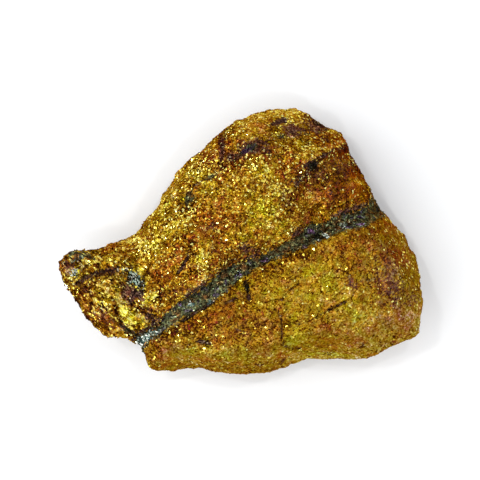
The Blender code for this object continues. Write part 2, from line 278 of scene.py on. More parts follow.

# %% [markdown]
# ## Tarnish, rust and fresh metal
#
# Violet-black tarnish lies in the cracks and hollows, with maroon round it, where the film is thin.
# Under the small scarp at the upper right the violet-black is painted shade. Where the film is
# thicker it is pale teal, and some small, nearly white teal spots in the seam and the horn are
# painted glints. Warm ground is rusty, and cool ground is the greenish yellow of metal that has
# only begun to dull. Bright streaks are fresh metal, and partly painted highlights where the slopes
# face the light. The cracks are also pressed into the skin later on.

# %% Draw the cracks
CRACKS = [
    (1, 0.35, 10.6, 11.6, 11.8, 12.4, 13, 13),
    (1, 0.26, -8.4, -1.9, -8.7, -3.2, -9.4, -4.4, -10.1, -5.3), (0.6, 0.3, -3, 16.8, -2.8, 14.8),
    (1, 0.26, 0.8, -6.8, 1.2, -8.2, 1.5, -9.6), (0.9, 0.18, 14.4, -11.5, 15.6, -10.9, 17.4, -10),
    (0.5, 0.14, 8.4, -14, 11, -13.6, 12.8, -12.4, 14.4, -11.5),
    (1, 0.28, -7, -16.6, -5.8, -16.7, -4.9, -17), (0.5, 0.2, -10.2, -14.9, -8.4, -15.8, -7, -16.3),
    (1.1, 0.28, -9.4, -13.1, -7.7, -12.1, -6, -11.1, -4.2, -10), (1.2, 0.42, 12.3, 0.9, 13.3, 0.4),
    (0.45, 0.16, 4, -10.1, 6.8, -9.8, 8.3, -8, 9.6, -7.2), (0.7, 0.25, -2.4, -10.3, -0.4, -9.5),
    (0.3, 0.14, 17.4, -10, 18.5, -9.1, 19.2, -8.2),
    (0.6, 0.16, 5.9, -11.2, 6.8, -12.6, 6.8, -15.4, 7.1, -17.2, 8.4, -17.9, 10.6, -18.1),
]

cracks = streaks(plan, CRACKS, fray)
print("cracks cover", covered(cracks))

# %% Draw the violet tarnish, and the painted shade under the scarp
# Tarnish along the cracks and in the hollows. The lines and spots under the scarp at the upper
# right are painted shade.
VIOLET_LINES = CRACKS + [
    (0.8, 0.55, -26.8, -7.1, -25.4, -6.3, -23.4, -5.5, -21.4, -4.9, -19.8, -4.9),
    (0.5, 0.6, -21.2, -6.6, -20.2, -8), (0.6, 0.25, -7.8, 8.4, -6, 9.8),
    (0.9, 0.8, -17.4, -6.2, -16.4, -7.4), (0.9, 0.8, -17.8, -9.3, -16.4, -8.6),
    (0.9, 0.6, -15, -12.3, -13.9, -13.5), (0.9, 0.4, -18.8, -14.3, -17.6, -15, -16.6, -16),
    (0.45, 0.9, -1.6, 13.4, 0.8, 14.7, 2.7, 15.5, 4.2, 15.9), (0.45, 0.6, 4, 15, 5.2, 13.8),
    (1, 0.5, 5.4, 18.9, 7.2, 19.7), (0.65, 0.9, 11.3, 20.2, 14.3, 18.5),
    (0.55, 0.8, 8.3, 17.8, 11, 17.8), (0.7, 0.4, 13.4, 16.8, 14.6, 16.4),
    (1, 0.45, 11.2, 11.8, 12.2, 12.6, 13.9, 13.9), (0.9, 0.7, 11.6, 11.5, 12.4, 11.9),
    (0.5, 0.6, 13.8, 13.7, 15.8, 14.8, 17.6, 15.4), (0.8, 0.5, 9.2, 9.2, 9.9, 9.9),
    (0.5, 0.5, 10.9, 11, 8.6, 9.6),
]
VIOLET_SPOTS = [
    (0.7, 0.8, -1.2, 1.8, 0.9, 10), (0.5, -4.2, -1.8, 1.4, 0.8), (0.35, 15.3, 13, 2.4, 0.9, 25),
    (0.35, 13.4, 10, 2.4, 1.6, 30), (0.5, 17.4, 8.8, 0.7, 0.6), (0.5, 14.6, 7.6, 1.2, 0.6, 30),
    (0.5, 18.3, -6.9, 1.7, 0.6, -50), (0.25, 26, -1.4, 2.6, 2, -30),
    (0.3, 25.4, -8.4, 2.4, 3.4, 20), (0.4, -0.6, -14.6, 1.6, 0.5, -20), (0.5, 3.4, -20.4, 1.2, 0.5),
    (0.6, -15.9, -19.4, 0.4, 1.8, 8), (0.5, -14.2, -12.6, 1.6, 0.9, -30),
    (0.5, -28.9, -3.8, 1, 0.8, -60), (0.7, 20.1, -17.1, 0.7, 0.4, 20), (0.6, 15, -18.8, 0.8, 0.4),
    (0.7, 6.7, -20, 0.8, 0.5, 20), (0.5, 23, 5.4, 1.6, 1, 20),
]
FRINGE_OFFSET, FRINGE_WIDTH = 0.3, 0.45  # the violet fringe on the seam's upper side
FRINGE_SHARE, FRINGE_FRAY, FRINGE_MOST = 0.45, 1.4, 0.8

violet = np.maximum(streaks(plan, VIOLET_LINES, fray), patches(plan, VIOLET_SPOTS, fray))
fringe = np.exp(-(((above_seam - seam_half - FRINGE_OFFSET) / FRINGE_WIDTH) ** 2))
fringe *= np.clip(FRINGE_SHARE + FRINGE_FRAY * wide_fray, 0.0, FRINGE_MOST)
violet = np.maximum(violet, fringe)
print("violet tarnish covers", covered(violet))

# %% Draw the maroon, teal and indigo tarnish, and the painted glints among the teal
MAROON_LINES = [
    (0.45, 0.9, -8.4, -8.8, -4.6, -6.2, -1, -3.4, 2.4, -2.6),
    (0.7, 0.6, 15.4, 3.9, 17.4, 4.9, 20.6, 5.6),
]
MAROON_SPOTS = [
    (0.7, -27.6, -4.6, 2.4, 2.2, -20), (0.45, -25.2, -8, 2.4, 1.8, -20),
    (0.95, -17.9, -9, 2.4, 2, -30), (0.5, -22.6, -12.4, 3.6, 2.2, -40),
    (0.8, -18.8, -14.6, 1.3, 0.9, -30), (0.5, -15, -11.6, 2.6, 1.6), (1, -3, 14.7, 0.6, 2.6),
    (1, 1.6, 14.9, 4.4, 1.4, 18), (1, 8.6, 18.1, 2.6, 1.3), (0.8, 12.2, 18.8, 2.4, 1.5, -20),
    (0.55, 12, 11.2, 4.4, 2.4, 20), (0.5, 17, 12, 2.6, 3, -60), (0.4, 15.5, 7.6, 3.4, 2.4, 20),
    (0.4, 7.4, 7, 2, 2), (0.5, -4.6, 2, 1.8, 1.4), (0.6, 1.6, -1.8, 2.2, 1, 15),
    (0.4, -10, -8.4, 2.2, 1.6, 20), (0.6, 18.4, -7.1, 1.7, 0.8, -50), (0.6, 24.6, -6.8, 3.6, 6, 15),
    (0.3, 26.6, -11.6, 2.4, 2), (0.85, 9.6, 1, 2.1, 1, 35), (0.4, 24, -1.6, 2, 1.6),
    (0.5, 28, -8.8, 1.4, 3.6),
]
# Pale teal tarnish; the small, nearly white spots in the seam and the horn are painted glints.
TEAL_SPOTS = [
    (1, -15.8, -16.4, 2, 0.8, 40), (0.7, -13.6, -15, 1.1, 0.45, 30),
    (1, -17.8, -5.4, 1.8, 0.7, -25), (0.8, -16.6, -6.9, 1.3, 0.6, -50),
    (0.8, -18.1, -6.8, 0.5, 0.4), (1.1, -27.1, -5.5, 1.1, 0.6, 60),
    (0.6, -27.2, -3.2, 1.4, 0.35, 10), (1.5, 13.8, 0.9, 0.85, 0.22, -36),
    (1, 17.1, 2.5, 1, 0.35, 25), (1, 12.8, 0, 0.4, 0.3), (1, -8, -10.5, 0.5, 0.4),
    (0.8, -4.9, -10.2, 0.6, 0.3, 20),
]
INDIGO_SPOTS = [  # blue and violet places in the seam
    (1, 17.2, 4.1, 0.6, 0.5), (1, 18.6, 5.1, 0.8, 0.4, 10), (1, 11.7, 1.6, 0.8, 0.4, -20),
    (1, 17.8, 2.1, 0.6, 0.4), (0.8, 20.2, 2.7, 1, 0.5, 20), (0.4, 3, -2.4, 1.6, 0.5, 25),
    (1, -9.8, -10.6, 0.6, 0.5), (0.8, -0.2, -5.7, 0.7, 0.5), (0.8, -4.4, -9.3, 1, 0.5, 30),
    (1, 1, 14.6, 1.7, 0.7, 20), (0.7, 3.8, 14.4, 1.2, 0.4), (0.7, -13.5, -15.1, 0.8, 0.4, 20),
]

maroon = np.maximum(streaks(plan, MAROON_LINES, fray), patches(plan, MAROON_SPOTS, fray))
teal = patches(plan, TEAL_SPOTS, fray)
indigo = patches(plan, INDIGO_SPOTS, fray)
print("maroon tarnish covers", covered(maroon))

# %% Draw the warm and the cool ground
WARM_SPOTS = [
    (0.9, -28.8, -4.4, 1.2, 1.4), (0.7, -22.4, -13, 2.6, 1.4, -45), (0.5, -25.2, -10.4, 1, 2.4, 30),
    (1, -21.2, -1.1, 1.8, 0.9, 15), (0.5, -18.8, -1.9, 2.2, 0.9), (1, -12.8, -5.4, 1.9, 1.4),
    (0.6, -13, -8.6, 1, 1.3), (0.6, -10.4, -3, 3, 2.2, 30), (0.6, -6.6, -7, 1.8, 1.8),
    (0.6, -8, 0.6, 2.2, 1.4, 40), (0.9, -6, 3.2, 1.7, 2.2), (0.8, -2.6, 3.1, 3.2, 1.5, 20),
    (0.9, -3.3, 6, 0.9, 1.3), (1, -3.2, -1.7, 1.2, 2.2), (1, -5.5, 13.3, 1.2, 1.6),
    (0.7, -2.6, 15.6, 1.5, 1.4), (0.9, -0.9, 12.6, 1.3, 1.5), (0.6, 12.8, 18.8, 2.4, 1.2, -25),
    (0.8, 10.2, 11.5, 1.6, 1.4), (0.4, 26.8, -4.4, 1.4, 2.2), (0.4, -5, -19.4, 4, 1),
    (0.9, 0, 16, 0.7, 0.8), (0.5, 3.2, 19, 2.4, 1.7), (1, 7.1, 11.4, 1.4, 1.3),
    (0.8, 8.2, 14, 0.9, 2), (0.8, 4.6, 13.9, 1.2, 1.2), (1, 13, 17, 1.9, 1.4),
    (0.9, 16.2, 15.4, 2.4, 2.6), (0.6, 20.8, 6.8, 2, 1.4), (0.6, 1, 14.2, 3.6, 1.2, 25),
    (0.7, -3.3, 9.9, 1.4, 1.1), (1, 18.6, 11.2, 1.6, 1.8), (1, 18.2, 8, 2.4, 2),
    (0.9, 14, 7.2, 1.3, 1.3), (0.5, 12, 7.6, 2.8, 2.2), (0.5, 10.6, 3.6, 2.4, 1, 20),
    (0.4, 17, -1.2, 3.2, 1.4, 10), (0.6, 21.4, 0.4, 2.4, 2, 20), (0.8, 24.4, 2.2, 1.7, 1.3, 20),
    (1, 25.6, -2.6, 2.4, 1.8), (0.8, 26.2, -13, 1.9, 3, 10), (0.5, 23.6, -8, 1.8, 1.8),
    (0.6, -2, -12.2, 2.4, 1.4), (0.7, -6.2, -13.6, 2.4, 1.5, 10), (0.4, -2, -16, 4.6, 1.6),
    (0.5, 4.4, -15.6, 2.2, 2.6), (0.7, -12.6, -19.2, 1.8, 1.6), (0.9, 6.8, -18.8, 0.8, 0.8),
    (0.6, 14.2, -14.6, 2.2, 1.3), (0.5, 22.2, -14.8, 2.8, 1.1, 10),
    (0.9, -11.7, -12.2, 1.4, 0.9, 30), (0.7, 17.8, -16.6, 2.8, 1, 10),
]
COOL_SPOTS = [
    (0.5, 2.6, 6.4, 1.6, 3, -10), (0.6, 0.2, 0.9, 2, 0.9), (0.5, -5.4, 9, 1.4, 1.4),
    (0.4, -6.6, -11.2, 2.4, 1.2, 35), (0.4, 2.4, -16.2, 4, 1), (0.9, -27.2, -5.2, 2.2, 1.8),
    (0.5, -22.2, -7, 2.8, 1.8), (1, -18.2, -12.6, 1.8, 2.4, 30), (0.7, -21.6, -9.8, 2.4, 1.2, -30),
    (0.7, -14.8, -9.6, 1.8, 0.9, 30), (1, -17.8, -5, 2.4, 1.2), (1, -16, -7, 1.2, 2.6),
    (0.7, -14.2, -1.2, 2.8, 1.5, 20), (0.6, -11.2, 1.2, 2.4, 1.8, 30), (0.5, -12.4, 4.6, 2, 2),
    (0.7, -9.2, 7, 1.7, 1.4), (0.8, -7.3, 11, 1.7, 1), (0.7, -5.4, 11, 1.1, 0.9),
    (1, -6.3, -3, 0.8, 1.5), (1, 3.5, 11.3, 1.2, 1.4), (0.8, 1.2, 15.4, 1.7, 0.7, 20),
    (0.5, 7.2, 17.3, 2, 1), (0.5, 10.4, 15.4, 1.7, 1.1, 20), (1, 3.6, 5, 3, 1.7, 20),
    (0.8, 2.2, 2.8, 1.2, 0.9), (0.6, 5.6, 8.4, 1.1, 2.6), (0.6, 7.4, 1.8, 2.2, 1.2, 20),
    (0.6, 5.6, -8.8, 2, 1.4), (0.9, 11.8, -5.2, 2.6, 1.3, 20), (1, 14, -7.4, 1.8, 2.2),
    (0.8, 12.6, -8.8, 1.8, 0.9), (0.8, 9.2, -11.8, 1.8, 1.4), (1, 9, -16.4, 2.2, 1.8),
    (0.8, 19.4, -12.4, 1.6, 1.4), (0.5, 17.4, -10.6, 2, 1.4), (0.5, 27.6, -7.2, 1.4, 2),
    (0.5, 14, -18.8, 5, 0.7), (0.9, 0.2, -7, 1.4, 1.4), (0.6, -8.2, -18.5, 2.6, 0.9),
    (0.7, -2, -18.6, 2.6, 0.9),
]
WARMTH_DRIFT, WARMTH_DRIFT_SIZE = 0.3, 1.6

warmth = patches(plan, WARM_SPOTS, fray) - patches(plan, COOL_SPOTS, fray)
warmth += WARMTH_DRIFT * fractal(start_points, WARMTH_DRIFT_SIZE, seed=8.0)
print("warm ground covers", covered(warmth))

# %% Draw the bloom, and the fresh metal with its painted highlights
DUSTY_SPOTS = [  # a thin greyish bloom
    (0.6, 25, -4, 4.5, 6, 10), (0.5, 25.4, -12, 3, 4, 10), (0.8, -9.8, 7.2, 1.8, 1.3, 30),
    (0.5, -0.6, 14, 4, 2, 30), (0.4, 14.6, 10.6, 4, 3, 30), (0.5, 2, -14, 5, 2),
    (0.5, -12, -16.6, 3, 2), (0.5, -21, -6.6, 4, 3), (0.4, 7, 6.6, 3, 1.4, 30),
]
# Fresh metal, and partly painted highlights: bright streaks where the slopes face the light
FRESH_AND_LIT_LINES = [
    (0.8, 1.2, -15.7, -1.9, -12.6, 1.4, -8.3, 4.4),
    (1, 0.7, -19.2, -11, -18.4, -12.6, -17.8, -13.6),
    (0.9, 0.6, -23.6, -9.9, -21.8, -10.6, -20.2, -11.4),
    (1, 0.7, -16, -10.6, -14.9, -9.5, -13.9, -8.8), (0.7, 0.4, -22.2, -6.4, -20.6, -6.8),
    (1, 0.6, -6.1, -2.6, -6.1, -6.6), (0.6, 1.2, 2.6, 12.6, 4.6, 10.6, 6.2, 8.2),
    (0.6, 1.2, -8.2, 10.6, -5, 12.8), (0.4, 1, -1.6, 18, 2.8, 20.2), (0.7, 1, 7.6, 17.8, 9.4, 20.4),
    (0.7, 0.6, 9.4, 13.8, 11.4, 15.2), (0.9, 0.4, -26.8, -5.2, -28, -6),
    (0.6, 0.5, 9.8, -8.8, 11.2, -8.9, 13, -9.9), (0.6, 0.5, 14.2, -4.4, 14.6, -5.6),
    (0.6, 0.6, 7.9, -14.6, 9.8, -16.2), (0.8, 0.18, 5.4, 6.5, 6.4, 5, 7.4, 4.3),
    (0.8, 0.18, 6.6, 6.4, 7.8, 5.4),
]

dust = patches(plan, DUSTY_SPOTS, fray)
fresh_and_lit = streaks(plan, FRESH_AND_LIT_LINES, fray)
print("fresh metal covers", covered(fresh_and_lit))

# %% [markdown]
# ## Lightness and glitter
#
# `tone` is the lightness of the grains. Besides the ore's own lighter and darker ground it carries
# painted light and shade: the left slope, which faces the light, is painted lighter along with the
# fresh metal, the ground below the scarp is painted in shade, and a pale painted highlight runs
# along the scarp's ridge. `contrast` is how much neighbouring grains differ. `glints` is the share
# of grains that are clean mirrors with a pale colour, which is partly a painted glint, and `clumps`
# is how much neighbouring grains are alike. `sparkle` is how far the faces of the grains are turned
# from the surface: much on the upper block, little on the lower one. The sides and the underside
# are painted darker, as shade.

# %% Draw the shade and the tone
# Painted shade: darker, duller ground with fewer glints, most of it under the scarp at the upper
# right.
SHADED_SPOTS = [
    (0.6, 16.6, 9.6, 5.4, 5, 20), (0.55, 12.6, 5.2, 6, 2.4, 18), (0.35, 2, 0, 4.4, 1.6, 20),
    (0.5, -26, -12, 5, 2, -45), (0.5, 25, -5, 4, 7, 10), (0.5, 4.6, 17.4, 6, 1.6),
    (0.5, -9, -6.6, 4, 2.2, 40),
]
# Partly the ore's own lighter and darker ground, and partly painted light and shade: the pale
# painted highlight along the scarp's ridge, and patches that stand in for how each slope is lit.
TONE_LINES = [  # lighter above 0, and darker below
    (0.26, 0.4, 10.8, 12.8, 12.2, 13.7, 13.9, 14.6, 17, 16.1),
    (0.18, 0.9, -18.8, -11.4, -17.7, -12.8), (0.26, 0.5, -19.4, -12.2, -18.2, -14.4),
    (0.22, 0.6, -20, -9.4, -18.8, -11.2), (0.27, 0.45, -15.7, -10.3, -14, -8.9),
    (0.34, 0.4, -23.4, -7.4, -21.9, -6.7), (-0.16, 0.7, -19.9, -6.9, -17.8, -10.2),
    (-0.1, 0.9, -27, -9.4, -23.8, -14.8),
    (-0.42, 0.35, -20.5, -10.8, -19.9, -12.6, -19, -14.2, -18.2, -15.3, -17.3, -15.6),
    (-0.36, 0.3, -17.4, -10.2, -16.6, -11.3, -15.8, -12, -15.2, -12.3),
    (-0.3, 0.4, -13.2, -8.9, -13, -10.5), (-0.25, 0.3, -16.9, -9, -15.8, -9.3),
    (-0.3, 0.3, -23.1, -9.4, -22.7, -10.4, -22.2, -11), (0.3, 0.4, -7, -3.2, -5.9, -4.1),
    (0.25, 0.3, -5.3, -0.8, -5.2, -1.9), (0.15, 0.3, -6.9, -0.8, -6, -1.8),
    (-0.2, 0.3, -7.6, 0.5, -8.3, -1.6), (-0.15, 0.35, -10.9, 0.3, -9.4, 0.4),
    (-0.3, 0.35, -3.3, 16.9, -3.1, 15.4), (-0.3, 0.45, -3.5, 12.6, -2.7, 11.9),
    (-0.22, 0.35, -4.2, 10.8, -5.8, 10.1, -7.2, 9.5), (-0.2, 0.3, 8.4, 15.9, 8.9, 14.5),
    (-0.2, 0.3, 4.9, 14.5, 6.3, 13.4), (-0.2, 0.3, -1, 11.8, 0, 10.9),
    (-0.2, 0.35, 2.4, 8.1, 4.2, 7.8), (0.25, 0.3, 10.3, 12.9, 10.5, 14.2),
    (0.25, 0.4, 12.4, 15, 13.2, 15.8), (0.22, 0.4, -1.3, 10.2, -0.7, 10.9),
    (0.2, 0.3, 3.4, 12.8, 4.8, 11.4, 5.6, 10), (0.2, 0.3, -4, 14, -4.1, 12),
    (0.22, 0.25, 6.2, 7.2, 7, 8.2), (0.25, 0.25, -5.3, 4.6, -5.3, 6),
    (-0.14, 0.25, 4, -10.1, 5.2, -10.2, 5.9, -11.2, 6.8, -12.6, 6.8, -15.4, 7.1, -17.2),
    (-0.2, 0.3, 7.1, -17.2, 8.4, -17.9, 10.6, -18.1), (-0.14, 0.25, 6.6, -10, 8.3, -8, 9.6, -7.2),
    (-0.16, 0.25, 10, -8.3, 12.8, -9.1), (-0.16, 0.25, 14.4, -11.5, 17.2, -10.1, 18.4, -9.2),
    (0.18, 0.3, 16, -7, 17.2, -7.3, 17.6, -8.5, 16.8, -9.5),
    (-0.15, 0.3, 8, -2.7, 10.2, -2.5, 11, -3.3), (0.14, 0.4, 8.2, -3.5, 9.4, -3.6),
    (-0.16, 0.25, 23.5, -10, 24.1, -12.2), (-0.16, 0.25, 24.1, -9.1, 25.3, -10.5),
    (-0.25, 0.3, 25.5, -15.3, 24.9, -17), (-0.2, 0.25, 22.3, -15.8, 23.1, -17),
    (-0.12, 0.3, -13.2, -15.4, -12, -15, -10.6, -15.6), (-0.22, 1, 17.6, 15.2, 19.8, 12, 23.4, 6.6),
    (0.12, 0.8, 14.6, 17.8, 16.2, 17), (0.14, 0.9, -18.8, -0.4, -15.4, -0.6),
    (0.17, 1, 1, 16.4, 3.8, 18.4), (0.12, 1, 16.6, 12.6, 20.4, 10.2),
    (0.12, 1.2, -20.4, -1.2, -17, -0.8, -12.6, 1.6, -7, 4.4),
    (0.2, 1, -14.8, 3.4, -12.2, 7, -10.2, 11.4), (0.24, 0.9, 1, 19.9, 5.6, 21.1, 9.4, 21.3),
    (-0.18, 1.3, -3.2, -9, 2, -6.8, 7, -5), (-0.14, 1.3, 9.6, -3, 14, -1.4, 21, 1.4),
    (-0.14, 0.6, -3, -8.6, 2, -5.5, 7, -3.4, 11.4, -1.2, 15.6, 0.9),
    (0.08, 1.4, -13, -19, -4, -19, 4, -18.8, 7.4, -18.4),
    (0.16, 1.1, 8.4, -19.4, 14, -18.8, 20, -19.2), (0.09, 1.3, 24.6, 3, 28, -2, 29, -7, 29.4, -12),
]
# The same mix of the ore's own ground with painted light and shade.
TONE_SPOTS = [
    (0.2, 9.3, 16, 0.9, 0.7), (0.16, -9.6, -2.6, 0.9, 0.8), (-0.16, 13.2, -8.2, 1, 0.7),
    (-0.13, 15.3, 14.2, 1.4, 0.9), (0.28, -19.3, -14.7, 1, 0.8), (0.16, 10.2, 19, 1.1, 0.9),
    (-0.3, 2.2, 6.8, 0.5, 0.6), (-0.34, 20.2, -17.4, 0.6, 0.4), (-0.34, -29.6, -3.4, 1, 1.2),
    (-0.18, -28.9, -6.8, 0.9, 1.6, 20), (0.5, -27.3, -5.2, 1.6, 0.9), (-0.14, -20.2, -4, 1.4, 0.7),
    (0.22, -23, -4.6, 1.2, 0.7, 20), (-0.16, -23.1, -10.6, 1.3, 0.8, -20),
    (0.16, -27.2, -6, 1, 0.8), (0.2, -21.4, -8.2, 1.6, 0.9), (0.3, -17.9, -11.7, 0.9, 0.8),
    (0.4, -15.2, -12.8, 1, 0.8), (0.24, -25.5, -10.2, 1.2, 1), (-0.26, -25, -7.4, 1.6, 1.2, 10),
    (-0.12, -24.6, -12.2, 2.2, 1), (0.34, -21.2, -7.7, 1.4, 1.1), (0.28, -15.2, -15, 1.2, 0.9),
    (0.22, -17.2, 0, 2.2, 1, 20), (0.2, -15.2, -3.6, 1.2, 1), (-0.22, -7.7, -1.1, 1.5, 0.9),
    (0.14, -8.6, -3.4, 1.4, 1), (-0.35, -7.8, 5, 2, 1.3, 30), (-0.1, -10.4, 4.6, 2.4, 1, 30),
    (-0.1, -1, 11.8, 2.6, 0.8, 15), (0.14, 11.2, 14.2, 1.2, 0.9, 20), (0.1, 12.6, 19, 1.8, 1, -25),
    (0.16, 4.5, 7.3, 1.2, 1.6), (0.2, -5.9, 1.4, 1.3, 0.8), (0.14, -2.6, 4.5, 1, 0.9),
    (0.14, -1.8, 8.4, 1, 0.9), (0.14, -4.3, 15.3, 1, 0.9), (0.15, 5, 0.3, 1.8, 0.9, 20),
    (-0.16, -12.4, 2.5, 2.4, 1, 30), (0.15, -14.6, 4.4, 1.2, 1.4), (0.15, -6.3, -2.8, 1.1, 3.2),
    (0.12, -5.1, -1.2, 1.2, 1.4), (0.34, -16.2, -12.6, 1.6, 1, -10), (0.32, -19.3, -9.5, 1.4, 0.9),
    (-0.16, -13.5, -9.3, 1.1, 1.4), (-0.16, -17.8, -10.8, 1, 0.9), (0.16, -23.8, -14.2, 1.4, 0.9),
    (0.18, -11.4, -12, 1.8, 1.3), (0.24, -8.2, -9, 1.2, 2, -50), (-0.15, -2.2, 16.6, 1, 2.2),
    (-0.11, -5.6, 13.2, 1.4, 1.4), (0.16, 2.4, 18, 2.6, 1.7, 20), (0.12, 8.4, 21, 1.6, 0.9),
    (-0.28, -1.1, 12.8, 2.6, 1.1, -15), (0.26, 5.2, 12.2, 1.3, 1.8), (0.14, -5.4, 9.4, 1.6, 1.4),
    (0.22, -1.2, 6.2, 2.8, 1.6), (0.26, 2.5, 5.2, 2, 1.4), (0.14, -1.4, 1, 1.2, 0.9),
    (-0.11, 3.6, 8.9, 1.8, 1.2), (-0.16, 8, 5.6, 1.2, 1.8), (0.12, 8, 10.4, 1.2, 1),
    (0.22, 4.8, 2.4, 3.2, 1.8, 20), (0.22, 9.5, 2.3, 3.2, 1.7, 20), (0.4, 12, 6.6, 2.4, 1.4, 15),
    (-0.14, 9.4, 10.6, 1.4, 1.8), (0.12, 18.4, 6.4, 1.6, 1, 20), (0.16, 0.6, 10, 3, 1),
    (0.25, -5.5, -7.2, 3.2, 1, 30), (-0.12, 17, 5.3, 2, 1, 20), (0.14, 14.2, 3.7, 2.2, 1, 20),
    (0.28, 19.2, 9.4, 1.5, 1.1, 20), (-0.12, 14.6, 16.6, 2, 1, 15), (0.15, 8.2, 17.3, 1.8, 0.7),
    (-0.12, 7, 19, 2.8, 0.8, 10), (-0.18, -7.2, -13, 4.2, 2.4, 35),
    (-0.17, -8.4, -14.2, 3, 1.4, 25), (-0.12, 0.6, -9.8, 2.6, 1.4, 20), (-0.1, 7, -3.6, 2.6, 1, 20),
    (-0.06, 12.4, -12.4, 2.4, 2), (-0.07, -3, -12, 6, 2.4, 20), (0.13, -8, -19.8, 3, 0.9),
    (0.16, -8.6, -17.9, 1.4, 0.7), (0.14, 26.9, -12.4, 1.4, 2.2), (-0.2, -5, -16.6, 2.6, 1.2),
    (-0.22, 1, -14.4, 4.6, 3.4), (-0.12, 7.4, -14, 3.6, 2.8), (-0.24, 10.6, -2.6, 1.8, 1, 20),
    (0.12, 14, -1, 1.4, 2), (-0.08, 17.8, -0.6, 3.6, 1.8, 20), (-0.16, 17.4, -4.4, 3.2, 2.4),
    (-0.08, 14.6, -13, 2, 1.6), (-0.24, -11.9, -15.3, 2.4, 1.8, 20), (-0.26, -14, -18.2, 1.4, 2.4),
    (0.22, 8.8, -16.8, 1.8, 1.5), (0.14, 10.6, -19.4, 2.6, 0.8), (0.12, 18.4, -13, 3, 2.2),
    (0.12, 24, -13.6, 3.8, 2.8), (0.1, 21.4, -17, 4.4, 1.1, 8), (0.12, 24, -6.8, 1.4, 1.2),
    (0.18, 25, -4, 2, 2), (0.16, 28.4, -12.4, 1.6, 2), (-0.2, 30, -15.6, 0.8, 1),
]
SIDE_STARTS, SIDE_FULL = 0.55, 0.1  # how far the surface leans before it counts as a side
SIDE_DARKER, SHADED_DARKER, FRESH_AND_LIT_LIGHTER = 0.08, 0.24, 0.12
WIDE_TONE_DRIFT, TONE_DRIFT = 0.04, 0.06
TONE_FRAY, SHADE_FRAY = 0.4, 0.7
BLOCK_DARKER = (0.075, 0.07)  # pairs are for the lower block, then the upper one


def by_block(pair, upper):
    """The pair's first value on the lower block, its second on the upper."""
    return pair[0] + (pair[1] - pair[0]) * upper


tone_fray = TONE_FRAY * fray
shaded = patches(plan, SHADED_SPOTS, SHADE_FRAY * wide_fray)
side = np.clip((SIDE_STARTS - upness) / (SIDE_STARTS - SIDE_FULL), 0, 1)
tone = WIDE_TONE_DRIFT * wide_fray + TONE_DRIFT * fray - by_block(BLOCK_DARKER, upper)
# Painted light on the fresh, lit ground; painted shade in the shaded spots and on the sides and
# underside.
tone += FRESH_AND_LIT_LIGHTER * fresh_and_lit - SHADED_DARKER * shaded - SIDE_DARKER * side
tone += streaks(plan, TONE_LINES, tone_fray, np.add)
tone += patches(plan, TONE_SPOTS, tone_fray, np.add)
print(f"the tone goes from {tone.min():.2f} to {tone.max():.2f}")

# %% Draw the glints, the contrast and the sparkle
# Painted glints: places with more, or fewer, pale glinting grains.
GLINTING_SPOTS = [
    (0.05, 26.5, -3, 4, 6, 10), (0.03, 24, -10, 3, 4, 10), (0.03, -12, -15.4, 4, 2.4, 35),
    (0.08, 3.8, 12.6, 1.7, 1.3), (0.07, -4.4, 12.2, 1.2, 1.6), (-0.06, 1, 14.8, 3.4, 0.8, 25),
    (0.05, -6.2, 11.4, 2.2, 1.6, 20), (0.05, 5.6, 9.6, 1.4, 2.4, -20), (0.05, -14, 0.2, 4, 1.6, 30),
    (-0.05, 4, 5, 2.6, 1.4, 20), (-0.06, 5.4, 2.6, 4, 1.4, 20), (-0.04, -10.4, 7.4, 1.6, 2.2, -40),
    (0.05, 11.2, 15, 2, 1.4, 30), (-0.05, 15.8, 13.7, 2.6, 1.4, 28), (0.1, -6, -3.8, 1.4, 3),
    (0.05, -22.2, -9, 2.8, 2), (0.09, -18.4, -12.6, 1.6, 2.4, 30),
]
CONTRAST_SPOTS = [  # where the grains differ more or less than elsewhere
    (-0.34, 17.5, 8.5, 5, 8, -15), (-0.35, 15.8, 13.6, 2.6, 1.4, 28), (0.16, -7, 9, 4, 8, -40),
    (0.16, 2.5, 12, 3, 2.6), (0.2, -6.4, -4.4, 3, 3.6), (-0.3, 8.8, 17.9, 2.4, 1),
    (0.25, 0, -20.6, 14, 1.2), (0.2, 18, -18.6, 9, 1.2, 10), (0.15, -9, -16, 5, 3),
]
BLOCK_GLINTS, FRESH_AND_LIT_GLINTS = (0.008, 0.068), (0.066, 0.22)
BLOCK_CLUMPS, BLOCK_CONTRAST, BLOCK_SPARKLE = (0.1, 0.2), (1.0, 1.05), (0.3, 1.0)
HORN_CLUMPS, HORN_CONTRAST, HORN_SPARKLE = 0.3, 0.1, 0.2  # what the horn adds to these
SHADED_GLINTS, SHADED_SPARKLE = 0.08, 0.35  # what shade takes away
SPARKLE_RANGE = (0.1, 1.2)

# Painted glints: the share of grains that turn pale and mirror-like, more on fresh, lit ground.
glints = by_block(BLOCK_GLINTS, upper) + by_block(FRESH_AND_LIT_GLINTS, upper) * fresh_and_lit
glints += patches(plan, GLINTING_SPOTS, tone_fray) - SHADED_GLINTS * shaded * upper
clumps = by_block(BLOCK_CLUMPS, upper) + HORN_CLUMPS * horn
contrast = by_block(BLOCK_CONTRAST, upper) + HORN_CONTRAST * horn
contrast += patches(plan, CONTRAST_SPOTS, tone_fray, np.add)
sparkle = by_block(BLOCK_SPARKLE, upper) + HORN_SPARKLE * horn - SHADED_SPARKLE * shaded * upper
sparkle = np.clip(sparkle, *SPARKLE_RANGE)
print(f"on average {100 * glints.mean():.1f} % of the grains glint")

# %% [markdown]
# ## Relief of the skin
#
# Massive chalcopyrite breaks unevenly. Three kinds of relief are pressed into the skin: shell-like
# chips of one or two millimetres with sharp ridges between them, cracks along the drawn lines, and
# the grain itself, which moves each point a little. The stone stays inside the solid's box, so its
# base stays level where the solid rests.

